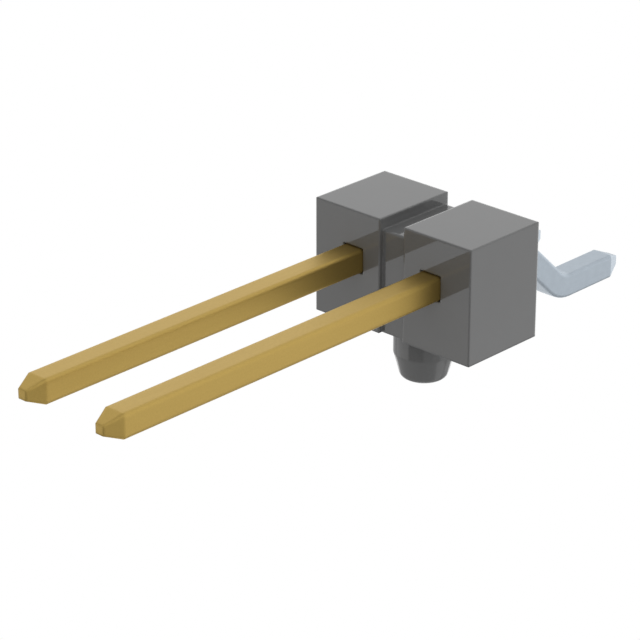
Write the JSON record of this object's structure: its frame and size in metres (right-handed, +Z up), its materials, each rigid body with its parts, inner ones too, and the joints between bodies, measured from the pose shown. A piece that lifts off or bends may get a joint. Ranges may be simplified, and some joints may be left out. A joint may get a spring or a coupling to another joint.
{
  "type": "pin header",
  "caption": "Horizontal surface-mount pin header: moulded housing with a locating peg, long square posts and formed solder tails.",
  "frame": {"origin": "on the locating peg's axis, in the plane of the board that the solder feet stand on", "axes": "+X along the row from the left contact to the right one, +Y from the mating posts towards the solder tails, +Z up from the board"},
  "size_m": [0.005, 0.0181, 0.0045],
  "materials": {
    "insulator": "glossy moulded grey plastic",
    "contact_plating": "gold plated post in front of the housing, tin plated tail behind it"
  },
  "bodies": {
    "root": {"housing": "insulator", "left_contact": "contact_plating", "right_contact": "contact_plating"}
  },
  "joints": []
}
